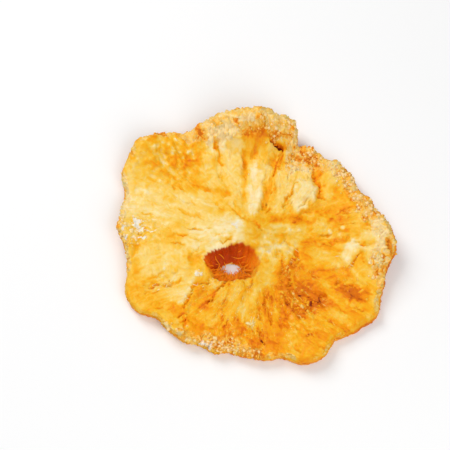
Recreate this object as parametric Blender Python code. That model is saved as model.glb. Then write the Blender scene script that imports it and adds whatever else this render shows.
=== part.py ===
"""A dried pineapple ring: one slice, dried until it has shrunk, buckled and puckered round its cored hole.

The slice is one solid. It starts as a torus whose rings run round the slice and whose sections run up the rim,
over the top, down the wall of the hole and back along the underside. Every vertex of the torus is then moved to
its place on the slice by the functions below. Lengths are in millimetres until the last step.

The slice is laid out round its heart, the middle of the outline. +X is to the right, +Y to the back and +Z up, and
the finished part stands on z = 0 with the middle of its box on the Z axis.
"""

import math

import bpy
import numpy as np

MM = 0.001

NODE = "pineapple_ring"

# The edge of the slice: (degrees round the heart, distance from it).
OUTLINE = [
    (0, 41.3), (13, 38.2), (28, 37.0), (42, 36.6), (49, 35.9), (56, 36.3), (62, 35.4), (65.5, 35.0), (69, 39.8),
    (78, 41.0), (105, 40.8), (118, 41.4), (132, 45.8), (148, 43.8), (162, 38.8), (177, 37.6), (188, 35.6),
    (207, 38.4), (222, 35.3), (250, 34.0), (266, 33.2), (282, 35.4), (298, 39.2), (310, 37.6), (328, 41.4),
    (340, 39.6), (352, 41.0),
]

# Small lumps along the edge: (how many go round, how far they stand out, turn of the first one in radians).
EDGE_LUMPS = [(11, 0.35, 0.4), (17, 0.3, 2.0), (28, 0.25, 4.1)]

# The mouth of the cored hole, which was cut off centre: (degrees round the hole's middle, distance from it).
HOLE_MIDDLE = (-5.3, -6.5)
HOLE_MOUTH = [
    (0, 7.6), (34, 7.0), (72, 5.4), (115, 4.3), (150, 6.0), (168, 7.7), (192, 6.6),
    (213, 6.6), (236, 6.0), (262, 4.9), (299, 5.0), (326, 6.9),
]

# The throat, where the hole comes out below: its middle and its half width and half depth.
THROAT_MIDDLE = (-5.4, -8.7)
THROAT_HALF = (4.4, 3.3)

# The wall of the hole is hollowed under its lip: by how much, and in which direction most.
HOLLOW = 1.3
HOLLOW_TOWARDS = 110.0

# The buckled sheet: (x, y, reach along x, reach along y, rise). A negative rise is a dip.
SHEET_LEVEL = -0.6
SWELLS = [
    (-1.0, 3.0, 13.0, 6.5, 2.6),
    (9.0, -4.0, 5.5, 6.0, 1.0),
    (-20.0, -4.0, 11.0, 8.0, 1.9),
    (-40.0, 2.0, 8.0, 10.0, 3.4),
    (38.0, 4.0, 9.0, 13.0, 5.2),
    (26.0, 26.0, 9.0, 9.0, 2.4),
    (0.0, 39.0, 15.0, 8.0, 8.0),
    (-33.0, 32.0, 10.0, 9.0, 4.6),
    (14.0, 15.0, 8.0, 8.0, 1.3),
    (-26.0, -26.0, 9.0, 6.0, 1.6),
    (-2.0, -24.0, 12.0, 8.0, -1.0),
    (15.5, -16.5, 6.0, 4.5, -1.8),
    (20.0, -33.0, 9.0, 5.0, 1.4),
]

# How thick the flesh is: (x, y, reach along x, reach along y, extra).
FLESH = 4.6
THINNEST = 1.9
THICKER = [
    (0.0, 0.0, 13.0, 9.0, 0.6),
    (0.0, 37.0, 13.0, 6.0, 1.6),
    (36.0, 2.0, 6.0, 12.0, 0.5),
    (22.0, -24.0, 12.0, 9.0, -0.6),
]

# The fibres meet beside the heart, and furrows and lobes run out from there like spokes.
FIBRE_CENTRE = (2.2, 1.9)

# Furrows between the fruitlets: (degrees round the fibre centre, from radius, to radius, half width, depth).
FURROWS = [
    (117, 14, 32, 1.2, 0.7), (100, 12, 30, 1.1, 0.8), (84, 16, 30, 1.1, 0.6), (73, 10, 28, 1.2, 1.0),
    (55, 10, 25, 1.2, 1.1), (42, 18, 30, 1.4, 1.1), (23, 6, 26, 2.0, 0.8), (2, 12, 30, 1.2, 0.6),
    (-18, 14, 34, 1.2, 0.7), (-28, 22, 38, 1.6, 0.8), (-75, 14, 34, 1.2, 0.5), (-98, 18, 33, 1.1, 0.5),
    (-136, 18, 32, 1.5, 1.1), (180, 12, 34, 1.2, 0.5), (141, 12, 34, 1.4, 0.5),
]

# Raised lobes of flesh: (degrees round the fibre centre, radius of the middle, half length, half width, rise).
LOBES = [
    (124, 26, 6.0, 3.0, 0.7), (110, 20, 11.0, 3.0, 0.9), (91, 18, 10.0, 3.0, 0.9), (80, 27, 4.5, 2.2, 0.9),
    (65, 22, 6.0, 2.2, 1.1), (48, 23, 7.5, 3.6, 1.9), (36, 28, 6.0, 2.6, 0.8), (8, 24, 4.0, 3.0, 0.6),
    (-9, 28, 4.5, 2.6, 0.8), (219, 25, 8.0, 2.2, 1.1), (200, 28, 10.0, 7.0, 0.6), (163, 28, 11.0, 7.0, 0.6),
    (268, 17, 6.0, 3.0, 0.4), (-60, 35, 6.0, 5.0, 0.5),
]

# Where the slice is turned up, the foot of its rim stands out: by how much, and in which direction most.
RIM_FLARE = 1.2
FLARE_TOWARDS = -8.0

# The rounded corners' share of the width of the slice, at the rim and at the mouth of the hole.
RIM_CORNER = 0.05
MOUTH_CORNER = 0.04

RINGS = 112
RIM_ROWS = 6
TOP_ROWS = 14
MOUTH_ROWS = 5
UNDER_ROWS = 9

SKIN_COLOUR = (0.93, 0.55, 0.12, 1.0)
SKIN_ROUGHNESS = 0.45


def smooth_closed(knots, degrees):
    """The distance at each of these angles, on a smooth closed curve through (degrees, distance) knots."""
    at = np.array([knot[0] for knot in knots], float)
    far = np.array([knot[1] for knot in knots], float)
    at = np.concatenate([at[-2:] - 360.0, at, at[:3] + 360.0])
    far = np.concatenate([far[-2:], far, far[:3]])
    slope = np.gradient(far, at)
    degrees = np.mod(degrees, 360.0)
    i = np.clip(np.searchsorted(at, degrees, side="right") - 1, 0, len(at) - 2)
    gap = at[i + 1] - at[i]
    t = (degrees - at[i]) / gap
    start = (1 + 2 * t) * (1 - t) ** 2
    leave = t * (1 - t) ** 2 * gap
    arrive = t * t * (t - 1) * gap
    return start * far[i] + (1 - start) * far[i + 1] + leave * slope[i] + arrive * slope[i + 1]


def bumps(x, y, places):
    """The sum of soft round bumps, each (x, y, reach along x, reach along y, height)."""
    total = np.zeros_like(x)
    for middle_x, middle_y, reach_x, reach_y, height in places:
        total += height * np.exp(-(((x - middle_x) / reach_x) ** 2) - ((y - middle_y) / reach_y) ** 2)
    return total


def round_the_fibres(x, y):
    """(degrees, radius) round the fibre centre. The fibres bend a little, so the angle sways with the place."""
    x = x - FIBRE_CENTRE[0]
    y = y - FIBRE_CENTRE[1]
    radius = np.hypot(x, y)
    sway = 2.4 * np.sin(0.19 * x + 0.6) + 2.0 * np.sin(0.23 * y - 0.9)
    return np.degrees(np.arctan2(y, x)) + sway * np.clip(radius / 20.0, 0, 1), radius


def across(degrees, radius, middle):
    """Distance in millimetres sideways from a ray at this angle."""
    return radius * np.radians(np.mod(degrees - middle + 180.0, 360.0) - 180.0)


def relief(x, y):
    """Height of the furrows and lobes of the top."""
    degrees, radius = round_the_fibres(x, y)
    height = np.zeros_like(x)
    for middle, start, end, half_width, depth in FURROWS:
        along = (radius - (start + end) / 2) / ((end - start) / 2)
        height -= depth * np.exp(-((across(degrees, radius, middle) / half_width) ** 2) - along**4)
    for middle, far, half_length, half_width, rise in LOBES:
        along = (radius - far) / half_length
        height += rise * np.exp(-((across(degrees, radius, middle) / half_width) ** 2) - along**2)
    return height


def sheet(x, y):
    """(underside, top) of the slice before its edges are rounded. It lies flat where it sags to the table."""
    level = SHEET_LEVEL + bumps(x, y, SWELLS)
    top = level + FLESH + bumps(x, y, THICKER) + relief(x, y)
    under = np.maximum(level, 0.0)
    return under, np.maximum(top, under + THINNEST)


def mouth(turn, drop):
    """Edge of the hole at each turn, from its mouth at drop 0 to its throat at drop 1."""
    wide = smooth_closed(HOLE_MOUTH, np.degrees(turn))
    mouth_x = HOLE_MIDDLE[0] + wide * np.cos(turn)
    mouth_y = HOLE_MIDDLE[1] + wide * np.sin(turn)
    throat_x = THROAT_MIDDLE[0] + THROAT_HALF[0] * np.cos(turn)
    throat_y = THROAT_MIDDLE[1] + THROAT_HALF[1] * np.sin(turn)
    hollow = HOLLOW * np.sin(math.pi * drop) * np.clip(np.cos(turn - math.radians(HOLLOW_TOWARDS)), 0, 1)
    x = mouth_x + (throat_x - mouth_x) * drop + hollow * np.cos(turn)
    y = mouth_y + (throat_y - mouth_y) * drop + hollow * np.sin(turn)
    return x, y


def rim(turn, drop):
    """Edge of the slice at each turn. Its foot stands out where the slice is turned up."""
    towards = np.clip(np.cos(turn - math.radians(FLARE_TOWARDS)), 0, 1)
    far = smooth_closed(OUTLINE, np.degrees(turn)) + RIM_FLARE * (drop - 0.5) * towards
    for how_many, size, first in EDGE_LUMPS:
        far = far + size * np.sin(how_many * turn + first)
    return far * np.cos(turn), far * np.sin(turn)


def section():
    """(share of the way out, height from -1 under to 1 on top) of each row, from the rim over the top and back."""
    rising = np.linspace(0, math.pi, RIM_ROWS + 2)[1:-1]
    falling = np.linspace(0, math.pi, MOUTH_ROWS + 2)[1:-1]
    edge = [(1 - RIM_CORNER * (1 - math.sin(a)), -math.cos(a)) for a in rising]
    top = [(share, 1.0) for share in np.linspace(1 - RIM_CORNER, MOUTH_CORNER, TOP_ROWS)]
    wall = [(MOUTH_CORNER * (1 - math.sin(a)), math.cos(a)) for a in falling]
    under = [(share, -1.0) for share in np.linspace(MOUTH_CORNER, 1 - RIM_CORNER, UNDER_ROWS)]
    middle = RIM_ROWS // 2
    return np.array(edge[middle:] + top + wall + under + edge[:middle])


def place(turn, share, height):
    """Position of the points at these turns round the slice, shares of the way out and heights."""
    drop = (1.0 - height) / 2
    inner_x, inner_y = mouth(turn, drop)
    outer_x, outer_y = rim(turn, drop)
    x = inner_x + (outer_x - inner_x) * share
    y = inner_y + (outer_y - inner_y) * share
    under, top = sheet(x, y)
    return np.stack([x, y, (under + top) / 2 + height * (top - under) / 2], axis=-1)


def flesh_material():
    material = bpy.data.materials.new("flesh")
    material.use_nodes = True
    shader = material.node_tree.nodes["Principled BSDF"]
    shader.inputs["Base Color"].default_value = SKIN_COLOUR
    shader.inputs["Roughness"].default_value = SKIN_ROUGHNESS
    shader.inputs["Metallic"].default_value = 0.0
    return material


def build():
    rows = section()
    bpy.ops.mesh.primitive_torus_add(major_segments=RINGS, minor_segments=len(rows))
    ring = bpy.context.object
    ring.name = NODE
    ring.data.name = NODE
    turn = np.repeat(np.arange(RINGS) * 2 * math.pi / RINGS, len(rows))
    points = place(turn, np.tile(rows[:, 0], RINGS), np.tile(rows[:, 1], RINGS))
    lowest, highest = points.min(axis=0), points.max(axis=0)
    points -= [(lowest[0] + highest[0]) / 2, (lowest[1] + highest[1]) / 2, lowest[2]]
    ring.data.vertices.foreach_set("co", (points * MM).astype(np.float32).ravel())
    ring.data.materials.clear()
    ring.data.materials.append(flesh_material())
    ring.data.shade_smooth()
    ring.data.update()


for old in list(bpy.data.objects):
    bpy.data.objects.remove(old)
build()
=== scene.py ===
# %% [markdown]
# # A dried pineapple ring
#
# One slice of pineapple, dried until the flesh has shrunk, buckled and puckered round the hole where the core was cut
# out. On the real thing three things catch the eye: the fibres that run out like spokes, the translucent amber flesh
# between paler petals, and the pale crumbly crust where the rim dried first.
#
# The slice could be sculpted by hand, but it follows a rule: everything on it is placed by how far round and how far
# out it lies. So the sheet, its petals and its furrows are worked out by functions, the fine fibres and crumbs come
# from Geometry Nodes, and the finish is one node material that reads what the shape already knows.
#
# Lengths are in millimetres until a mesh is made.

import math

import bpy
import numpy as np
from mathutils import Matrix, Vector


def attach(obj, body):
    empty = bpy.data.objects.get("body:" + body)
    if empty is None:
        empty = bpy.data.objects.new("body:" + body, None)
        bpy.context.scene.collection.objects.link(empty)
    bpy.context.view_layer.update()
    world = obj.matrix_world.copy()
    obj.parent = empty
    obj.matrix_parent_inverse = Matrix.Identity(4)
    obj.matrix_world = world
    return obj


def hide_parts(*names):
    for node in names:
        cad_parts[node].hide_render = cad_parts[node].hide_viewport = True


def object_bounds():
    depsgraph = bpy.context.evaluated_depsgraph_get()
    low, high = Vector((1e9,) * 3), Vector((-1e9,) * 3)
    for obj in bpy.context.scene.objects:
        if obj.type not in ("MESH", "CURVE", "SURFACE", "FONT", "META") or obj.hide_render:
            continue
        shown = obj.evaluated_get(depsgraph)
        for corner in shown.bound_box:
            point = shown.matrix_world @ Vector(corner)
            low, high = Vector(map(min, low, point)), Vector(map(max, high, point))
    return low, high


MM = 0.001
RING = "pineapple_ring"
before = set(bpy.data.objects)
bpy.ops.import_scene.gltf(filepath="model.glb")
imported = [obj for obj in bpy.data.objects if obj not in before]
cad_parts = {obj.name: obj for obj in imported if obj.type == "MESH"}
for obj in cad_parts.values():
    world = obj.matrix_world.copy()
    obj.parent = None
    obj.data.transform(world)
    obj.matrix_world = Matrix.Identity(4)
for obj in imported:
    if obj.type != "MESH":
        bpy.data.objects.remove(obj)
cad_low, cad_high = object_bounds()
print("solid model:", [round((b - a) / MM, 1) for a, b in zip(cad_low, cad_high)], "mm")

# %% [markdown]
# ## The outline and the hole
#
# A slice shrinks unevenly, so its edge wanders in and out, and the corer never hit the middle. Both edges are closed
# curves round a middle point, given by a few knots and joined smoothly. That is less work than a drawn curve and it
# gives the edge at any angle, which is what a mesh laid out in rings needs.

# %% Closed curves round a middle
HEART = np.array([-1.80, -2.71])  # the middle of the outline, on the table
OUTLINE = [
    (0, 41.3), (13, 38.2), (28, 37.0), (42, 36.6), (49, 35.9), (56, 36.3), (62, 35.4), (65.5, 35.0), (69, 39.8),
    (78, 41.0), (105, 40.8), (118, 41.4), (132, 45.8), (148, 43.8), (162, 38.8), (177, 37.6), (188, 35.6),
    (207, 38.4), (222, 35.3), (250, 34.0), (266, 33.2), (282, 35.4), (298, 39.2), (310, 37.6), (328, 41.4),
    (340, 39.6), (352, 41.0),
]
EDGE_LUMPS = [(11, 0.35, 0.4), (17, 0.3, 2.0), (28, 0.25, 4.1)]
HOLE_MIDDLE = (-5.3, -6.5)
HOLE_MOUTH = [
    (0, 7.6), (34, 7.0), (72, 5.4), (115, 4.3), (150, 6.0), (168, 7.7), (192, 6.6),
    (213, 6.6), (236, 6.0), (262, 4.9), (299, 5.0), (326, 6.9),
]
THROAT_MIDDLE = (-5.4, -8.9)
THROAT_HALF = (3.8, 2.9)
HOLLOW, HOLLOW_TOWARDS = 1.3, 110.0
RIM_FLARE, FLARE_TOWARDS = 1.2, -8.0


def smooth_closed(knots, degrees):
    """The value at each of these angles, on a smooth closed curve through (degrees, value) knots."""
    at = np.array([knot[0] for knot in knots], float)
    value = np.array([knot[1] for knot in knots], float)
    at = np.concatenate([at[-2:] - 360.0, at, at[:3] + 360.0])
    value = np.concatenate([value[-2:], value, value[:3]])
    slope = np.gradient(value, at)
    degrees = np.mod(degrees, 360.0)
    i = np.clip(np.searchsorted(at, degrees, side="right") - 1, 0, len(at) - 2)
    gap = at[i + 1] - at[i]
    t = (degrees - at[i]) / gap
    start = (1 + 2 * t) * (1 - t) ** 2
    leave = t * (1 - t) ** 2 * gap
    arrive = t * t * (t - 1) * gap
    return start * value[i] + (1 - start) * value[i + 1] + leave * slope[i] + arrive * slope[i + 1]


def edge_distance(turn):
    """How far the edge of the slice is from its heart."""
    far = smooth_closed(OUTLINE, np.degrees(turn))
    for how_many, size, first in EDGE_LUMPS:
        far = far + size * np.sin(how_many * turn + first)
    return far


def rim(turn, drop):
    """Edge of the slice at each turn. Its foot, at drop 1, stands out where the slice is turned up."""
    towards = np.clip(np.cos(turn - math.radians(FLARE_TOWARDS)), 0, 1)
    far = edge_distance(turn) + RIM_FLARE * (drop - 0.5) * towards
    return far * np.cos(turn), far * np.sin(turn)


# %% [markdown]
# The corer tore the core's upper lip into small teeth, and below it the wall is hollowed out. The teeth are a sine
# wave on the mouth's distance, only on the stretch where they show, and they die out a little way down the wall.

# %% The wall of the hole
TEETH, TOOTH_DEPTH = 44, 0.5
TEETH_FROM, TEETH_TO = 95.0, 185.0
RAGGED = 0.2  # how uneven the rest of the mouth is
RIDGE = 0.28  # fibres stand out along the wall


def between(value, low, high, soft):
    """1 between low and high, 0 outside, with soft edges."""
    rising = np.clip((value - low) / soft + 0.5, 0, 1)
    falling = np.clip((high - value) / soft + 0.5, 0, 1)
    return rising * rising * (3 - 2 * rising) * falling * falling * (3 - 2 * falling)


def mouth(turn, drop):
    """Edge of the hole at each turn, from its mouth at drop 0 to its throat at drop 1."""
    degrees = np.degrees(turn)
    toothed = between(degrees, TEETH_FROM, TEETH_TO, 20.0) * np.clip(1 - drop / 0.25, 0, 1)
    uneven = 0.6 + 0.4 * np.sin(5 * turn + 1.0)
    wide = smooth_closed(HOLE_MOUTH, degrees) + TOOTH_DEPTH * toothed * uneven * np.sin(TEETH * turn)
    wide = wide + (1 - toothed) * (RAGGED * np.sin(12 * turn + 0.7) + 0.7 * RAGGED * np.sin(23 * turn + 2.1))
    hollow = HOLLOW * np.sin(math.pi * drop) * np.clip(np.cos(turn - math.radians(HOLLOW_TOWARDS)), 0, 1)
    wide = wide + RIDGE * np.sin(math.pi * np.clip(drop, 0, 1)) * (np.sin(19 * turn) + 0.7 * np.sin(33 * turn + 2.0))
    edge = []
    for side, (middle, throat, half) in enumerate(zip(HOLE_MIDDLE, THROAT_MIDDLE, THROAT_HALF)):
        spoke = np.sin(turn) if side else np.cos(turn)
        above = middle + wide * spoke
        edge.append(above + (throat + half * spoke - above) * drop + hollow * spoke)
    return edge


print("hole", round(2 * 7.65, 1), "mm wide at its mouth and", 2 * THROAT_HALF[0], "mm at its throat")

# %% [markdown]
# ## The buckled sheet
#
# Drying pulls the slice out of flat: the top of the rim curls up, the right side lifts, and the lower edge stays on the
# table. The height of the sheet is a level plus a handful of soft swells. Where the sum falls below the table the
# underside is flat, as on a slice that dried on a tray.

# %% Swells and thickness
SHEET_LEVEL = -0.6
SWELLS = [
    (-1.0, 3.0, 13.0, 6.5, 2.6), (9.0, -4.0, 5.5, 6.0, 1.0), (-20.0, -4.0, 11.0, 8.0, 1.9),
    (-40.0, 2.0, 8.0, 10.0, 3.4), (38.0, 4.0, 9.0, 13.0, 5.2), (26.0, 26.0, 9.0, 9.0, 2.4),
    (0.0, 39.0, 15.0, 8.0, 8.0), (-33.0, 32.0, 10.0, 9.0, 4.6), (14.0, 15.0, 8.0, 8.0, 1.3),
    (-26.0, -26.0, 9.0, 6.0, 1.6), (-2.0, -24.0, 12.0, 8.0, -1.0), (15.5, -16.5, 6.0, 4.5, -1.8),
    (20.0, -33.0, 9.0, 5.0, 1.4),
]
FLESH, THINNEST = 4.6, 1.9
THICKER = [
    (0.0, 0.0, 13.0, 9.0, 0.6), (0.0, 37.0, 13.0, 6.0, 1.4),
    (36.0, 2.0, 6.0, 12.0, 0.5), (22.0, -24.0, 12.0, 9.0, -0.6),
]


def bumps(x, y, places):
    """The sum of soft round bumps, each (x, y, reach along x, reach along y, height)."""
    total = np.zeros_like(x)
    for middle_x, middle_y, reach_x, reach_y, height in places:
        total += height * np.exp(-(((x - middle_x) / reach_x) ** 2) - ((y - middle_y) / reach_y) ** 2)
    return total


def ripple(x, y, pitch, seed, waves=7):
    """A smooth random surface between about -1 and 1, made of a few sine waves in random directions."""
    random = np.random.default_rng(seed)
    total = np.zeros_like(x)
    for _ in range(waves):
        heading, first = random.uniform(0, 2 * math.pi, 2)
        length = pitch * random.uniform(0.7, 1.5)
        total += np.sin((x * math.cos(heading) + y * math.sin(heading)) * 2 * math.pi / length + first)
    return total / math.sqrt(waves) / 1.4


# %% [markdown]
# ## Petals, furrows and beads
#
# A pineapple is many fruitlets grown together, and a slice shows them as pale petals round the core, with brown furrows
# between them. Some were torn when the slice was cut. Each is a stroke: a straight line that starts with one half width
# and ends with another, with a rise and a tone. Painting them as a texture would be quicker, but then the light would
# not catch them, so one list of strokes gives both the height and the colour. The dark tones of the furrows and pits
# are partly their own brown and partly painted shade, the strokes along the rim's lower and right edges are painted
# shade, and the pale tones of the beads are partly painted highlight.
#
# A tone goes from 0, the burnt brown of the deepest folds, through orange at 0.4 and yellow at 0.6, to cream at 1.

# %% Strokes, placed round the heart
# (start x, y, half width), (end x, y, half width), rise, tone
PETALS = [
    ((-8.5, 17.5, 0.8), (-12.3, 26.5, 2.2), 0.6, 0.78), ((-4.0, 12.0, 1.4), (-4.6, 31.0, 2.8), 0.6, 0.84),
    ((0.6, 9.8, 1.8), (2.6, 23.5, 2.8), 0.6, 0.95), ((3.6, 25.0, 1.0), (5.9, 29.6, 1.4), 0.7, 0.74),
    ((22.6, 14.0, 0.8), (24.8, 24.5, 1.8), 0.5, 0.76), ((20.0, 4.0, 1.8), (21.5, 7.6, 1.2), 0.4, 0.72),
    ((29.0, -1.2, 1.9), (27.4, -4.8, 1.5), 0.6, 1.00), ((34.5, 1.0, 1.4), (34.5, -4.5, 2.0), 0.4, 0.76),
    ((29.5, -9.5, 1.0), (30.6, -11.6, 0.9), 0.4, 0.68), ((24.2, -21.3, 0.8), (26.0, -22.4, 0.7), 0.2, 0.74),
    ((-15.2, -10.0, 0.9), (-19.6, -17.6, 1.3), 0.35, 0.88), ((1.6, -9.6, 0.8), (0.2, -20.0, 0.7), 0.5, 0.76),
    ((-2.2, -13.0, 0.6), (-3.6, -20.5, 1.0), 0.4, 0.66), ((-9.6, -16.5, 1.1), (-10.8, -18.0, 0.6), 0.4, 0.70),
    ((11.8, -26.0, 0.5), (12.0, -34.0, 0.9), 0.2, 0.60), ((-30.0, -2.6, 1.6), (-27.6, -1.8, 1.2), 0.3, 0.78),
]
LOBES = [
    ((8.4, 10.5, 1.2), (11.2, 22.0, 3.0), 0.7, 0.84), ((14.2, 12.4, 2.8), (15.6, 15.4, 3.8), 0.8, 0.94),
    ((16.0, 16.0, 3.2), (16.6, 23.0, 1.8), 0.7, 0.88), ((12.6, 23.0, 1.2), (15.0, 25.2, 0.8), 0.7, 0.84),
    ((21.2, -15.0, 0.4), (24.2, -17.2, 0.3), 0.4, 0.74), ((-31.4, 28.0, 0.3), (-35.0, 22.6, 0.3), 0.4, 0.80),
    ((-16.4, 2.6, 0.2), (-16.2, -4.6, 0.2), 0.25, 0.92), ((7.2, -18.4, 0.3), (7.4, -20.6, 0.3), 0.4, 0.84),
    ((-10.6, -12.0, 0.4), (-9.7, -14.0, 0.3), 0.4, 0.80), ((11.0, -8.2, 0.3), (12.6, -13.0, 0.3), 0.5, 0.66),
    ((15.6, -16.4, 0.4), (14.4, -19.0, 0.5), 0.8, 0.66), ((16.4, -20.8, 0.5), (17.4, -23.4, 0.4), 0.7, 0.74),
    ((13.2, -17.2, 0.5), (12.0, -16.6, 0.3), 0.7, 0.60), ((-27.8, 35.6, 0.8), (-26.8, 35.2, 0.5), 0.6, 0.80),
    ((-28.6, -22.0, 0.5), (-24.6, -24.6, 0.4), 0.5, 0.76), ((-24.0, -25.0, 0.4), (-19.2, -28.4, 0.5), 0.6, 0.80),
]
# Furrows are darker than the flesh partly because shade lies in them: their low tones are the flesh's own brown and
# painted shade together.
FURROWS = [
    ((-1.0, 20.5, 0.3), (-1.6, 28.5, 0.6), -0.7, 0.50), ((1.0, 27.0, 0.8), (2.6, 32.4, 0.8), -0.5, 0.40),
    ((7.0, 25.0, 0.8), (7.6, 28.4, 0.5), -0.5, 0.46), ((7.4, 22.2, 0.3), (9.8, 28.2, 0.3), -0.8, 0.28),
    ((5.8, 20.6, 0.4), (4.2, 11.0, 0.9), -0.6, 0.54), ((6.6, 15.6, 0.15), (7.2, 19.0, 0.15), -0.5, 0.30),
    ((9.7, 10.4, 0.12), (10.8, 13.8, 0.15), -0.7, 0.34), ((10.8, 13.8, 0.18), (13.9, 18.4, 0.15), -1.0, 0.26),
    # The strokes from (18.4, 24.0) to (21.6, 13.5) are the crevice beside the folded lobe, painted dark as painted
    # shade.
    ((18.4, 24.0, 0.2), (18.7, 20.8, 0.25), -0.8, 0.32), ((18.9, 20.6, 0.3), (20.5, 17.6, 0.25), -1.0, 0.26),
    ((20.3, 17.6, 0.25), (20.6, 14.6, 0.3), -1.1, 0.26), ((20.6, 14.4, 0.3), (21.6, 13.5, 0.2), -0.9, 0.26),
    # The first stroke here, under the lobe's lower edge, is painted shade.
    ((21.0, 11.0, 0.8), (10.0, 7.4, 0.6), -0.4, 0.48), ((1.4, 5.8, 0.2), (3.4, 2.6, 0.25), -0.8, 0.34),
    ((-3.2, 8.8, 0.4), (1.6, 4.6, 0.4), -0.5, 0.50), ((-9.8, 30.6, 0.3), (-8.1, 25.4, 0.25), -0.8, 0.24),
    ((-10.0, 32.0, 0.6), (-9.8, 30.6, 0.5), -0.6, 0.38), ((-19.6, 29.2, 0.2), (-17.8, 26.6, 0.25), -0.5, 0.32),
    ((-19.0, 21.2, 0.6), (-12.5, 17.2, 0.7), -0.5, 0.56), ((-12.5, 17.2, 0.7), (-5.6, 15.6, 0.8), -0.5, 0.54),
    ((-24.0, 22.2, 0.2), (-21.6, 20.4, 0.25), -0.4, 0.34), ((-20.0, 10.4, 0.5), (-14.4, 8.0, 0.4), -0.4, 0.50),
    ((-34.0, 26.0, 0.8), (-34.8, 29.4, 0.9), -0.4, 0.50), ((-31.0, 35.4, 0.4), (-29.6, 33.6, 0.4), -0.7, 0.18),
    ((-29.0, 34.6, 0.3), (-25.6, 34.6, 0.5), -0.9, 0.16), ((-25.4, 35.2, 0.4), (-20.4, 37.6, 0.4), -0.7, 0.26),
    ((-32.4, -1.4, 0.6), (-33.2, -4.6, 0.5), -0.4, 0.48), ((-24.0, 2.0, 0.15), (-20.8, 2.4, 0.15), -0.3, 0.44),
    ((-24.0, -13.4, 0.4), (-19.8, -11.8, 0.5), -0.5, 0.44), ((-29.0, -15.6, 0.2), (-23.0, -12.6, 0.2), -0.5, 0.48),
    # These two run down the steep side of the cream ridge on the lower left and are painted shade.
    ((-12.2, -11.8, 0.2), (-16.4, -13.6, 0.2), -0.9, 0.42), ((-16.8, -14.0, 0.3), (-18.3, -19.4, 0.3), -1.0, 0.38),
    ((-8.6, -13.2, 0.3), (-10.6, -16.6, 0.3), -0.7, 0.24), ((-10.8, -17.0, 0.25), (-15.0, -19.6, 0.2), -0.6, 0.24),
    ((-13.0, -13.6, 0.2), (-12.6, -16.0, 0.2), -0.4, 0.34), ((-7.6, -18.0, 0.2), (-8.2, -23.0, 0.25), -0.5, 0.38),
    ((-5.4, -12.0, 0.2), (-6.2, -15.4, 0.2), -0.4, 0.38), ((-18.6, -23.0, 0.3), (-18.6, -29.0, 0.3), -0.6, 0.26),
    ((2.6, -15.0, 0.3), (2.2, -22.0, 0.3), -0.6, 0.40), ((4.2, -13.0, 0.25), (4.0, -22.0, 0.25), -0.5, 0.36),
    ((5.8, -16.6, 0.25), (5.4, -24.0, 0.3), -0.7, 0.26), ((7.0, -13.0, 0.2), (6.6, -17.0, 0.2), -0.5, 0.32),
    ((8.6, -17.0, 0.2), (8.4, -25.0, 0.25), -0.7, 0.32), ((10.2, -18.0, 0.25), (9.8, -25.4, 0.3), -0.7, 0.28),
    ((9.0, -8.0, 0.3), (9.2, -13.0, 0.4), -0.6, 0.32), ((10.4, -7.0, 0.25), (11.2, -12.8, 0.4), -0.9, 0.20),
    ((12.4, -5.4, 0.2), (12.0, -6.8, 0.3), -1.0, 0.14), ((13.2, -2.6, 0.3), (13.2, -7.4, 0.4), -1.0, 0.24),
    ((13.4, -8.0, 0.4), (19.0, -13.0, 0.5), -0.6, 0.36), ((16.0, -8.4, 0.3), (28.0, -8.4, 0.6), -0.5, 0.38),
    ((14.4, -1.8, 0.2), (22.4, -0.6, 0.25), -0.5, 0.42), ((23.4, 0.2, 0.6), (28.0, 1.6, 0.3), -0.7, 0.36),
    ((31.0, -4.4, 0.3), (28.4, -7.6, 0.4), -0.7, 0.34), ((24.0, -12.2, 0.2), (28.4, -13.5, 0.2), -0.7, 0.26),
    ((28.4, -13.5, 0.2), (30.4, -12.8, 0.2), -0.7, 0.26), ((31.2, -3.6, 0.2), (32.0, -6.0, 0.2), -0.4, 0.34),
    # These four strokes along the lower-left and bottom rim are painted shade along the crust's edge and the wall below
    # it.
    ((-27.0, -24.6, 0.3), (-25.2, -25.2, 0.5), -0.9, 0.16), ((-23.2, -27.8, 0.3), (-20.6, -28.6, 0.3), -0.8, 0.10),
    ((-16.4, -32.4, 0.4), (-8.6, -33.2, 0.4), -0.6, 0.16), ((-4.0, -33.6, 0.4), (0.4, -34.2, 0.5), -0.6, 0.14),
    # The last stroke here is the tear under the curled rim, painted near black: painted shade in the gap.
    ((4.0, 37.6, 0.15), (4.4, 34.8, 0.2), -0.9, 0.22), ((-4.6, 36.6, 0.2), (-3.0, 35.2, 0.3), -0.8, 0.28), ((2.5, -29.6, 0.3), (3.4, -29.9, 0.25), -0.5, -0.4), ((6.5, 31.9, 0.5), (9.0, 30.6, 0.8), -2.4, -0.15),
    # These two along the right edge are painted shade on the rim wall, which faces away from the lamp.
    ((39.0, -0.4, 0.5), (40.2, -4.4, 0.7), -0.9, 0.16), ((37.7, -4.8, 0.4), (37.3, -8.4, 0.3), -0.9, 0.24),
    ((32.3, 7.0, 0.25), (34.4, 3.4, 0.25), -0.7, 0.30), ((29.3, 13.8, 0.25), (31.5, 10.6, 0.25), -0.7, 0.32),
    ((34.7, -6.6, 0.25), (35.7, -10.4, 0.25), -0.7, 0.28),
]
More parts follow.
